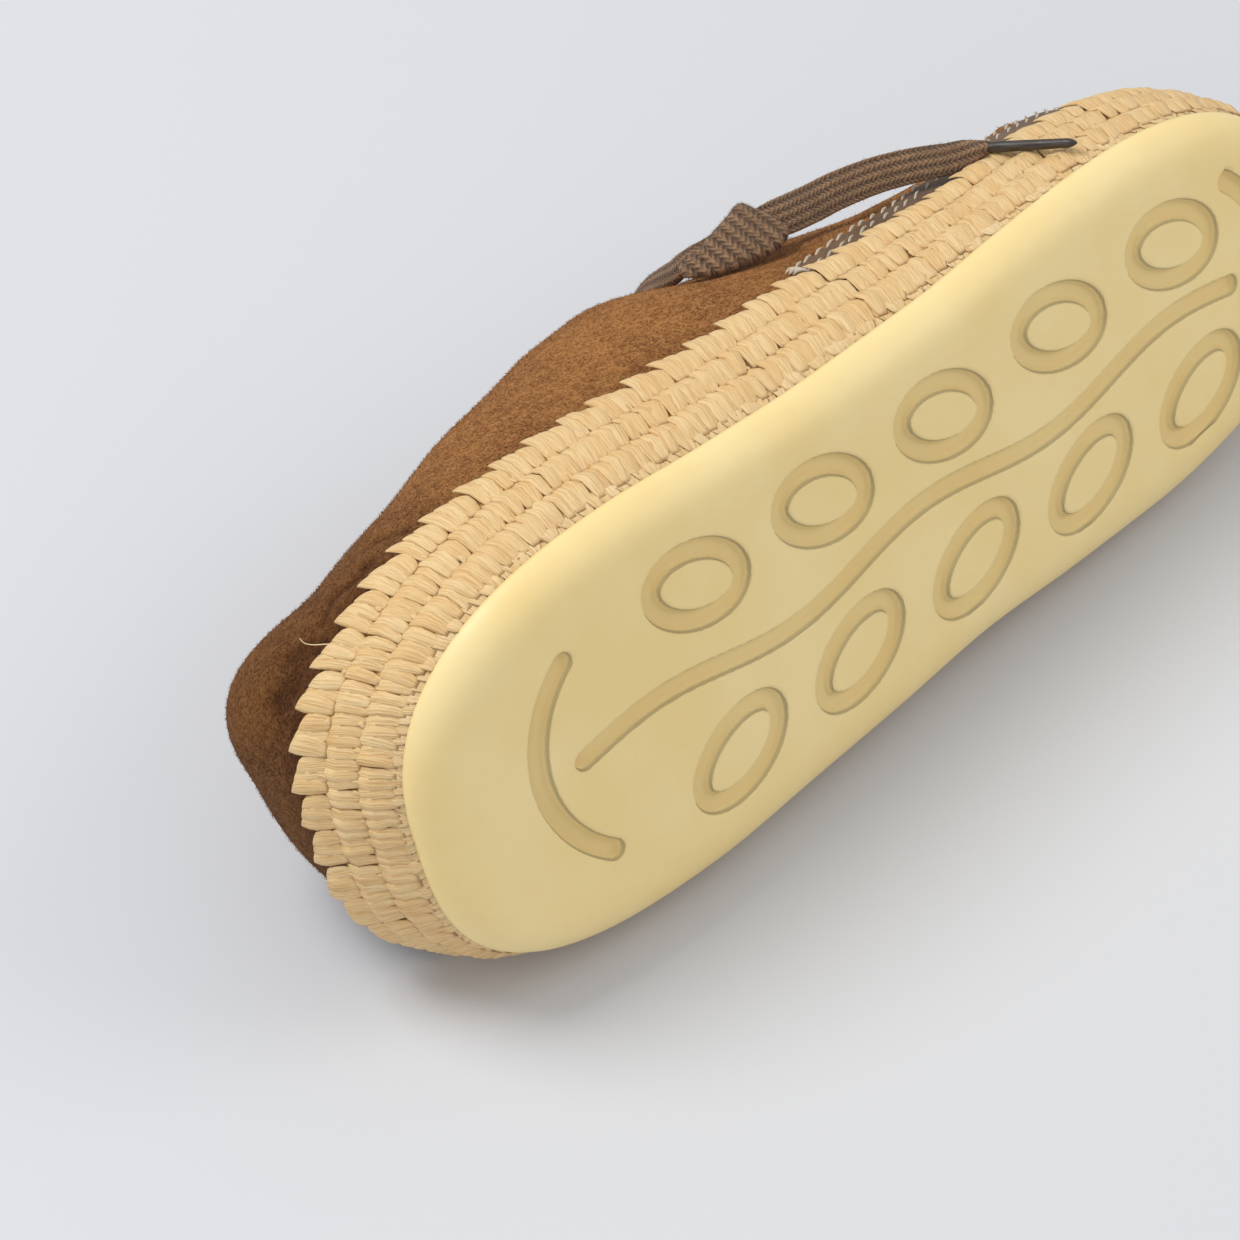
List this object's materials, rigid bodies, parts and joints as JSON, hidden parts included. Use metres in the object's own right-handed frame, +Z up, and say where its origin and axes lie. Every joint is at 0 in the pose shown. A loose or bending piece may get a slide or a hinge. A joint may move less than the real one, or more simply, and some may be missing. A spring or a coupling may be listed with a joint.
{
  "type": "sneaker",
  "caption": "Left low lace-up suede sneaker with a raffia-wrapped sole edge and a cream rubber sole, lying on its inner side.",
  "frame": {"origin": "on the floor under the middle of the shoe's box, cords left out", "axes": "+Z up from the floor, the toe towards -X, the tread facing -Y and a little up, the outer side on top"},
  "size_m": [0.2868, 0.1118, 0.1004],
  "materials": {
    "cream_rubber": "matt moulded rubber",
    "raffia": "woven raffia straw",
    "brown_suede": "napped suede",
    "dark_leather": "smooth dull leather",
    "footbed": "leather-covered foam",
    "taupe_lace": "flat woven cotton",
    "dark_tip": "dull plastic"
  },
  "bodies": {
    "root": {"outsole": "cream_rubber", "raffia_band": "raffia", "upper": "brown_suede", "tongue": "brown_suede", "heel_counter": "dark_leather", "insole": "footbed", "lace_bar_front": "taupe_lace", "lace_bar_middle": "taupe_lace", "lace_bar_rear": "taupe_lace", "lace_lead": "taupe_lace", "lace_knot": "taupe_lace", "lace_end": "taupe_lace", "lace_tip": "dark_tip"}
  },
  "joints": []
}
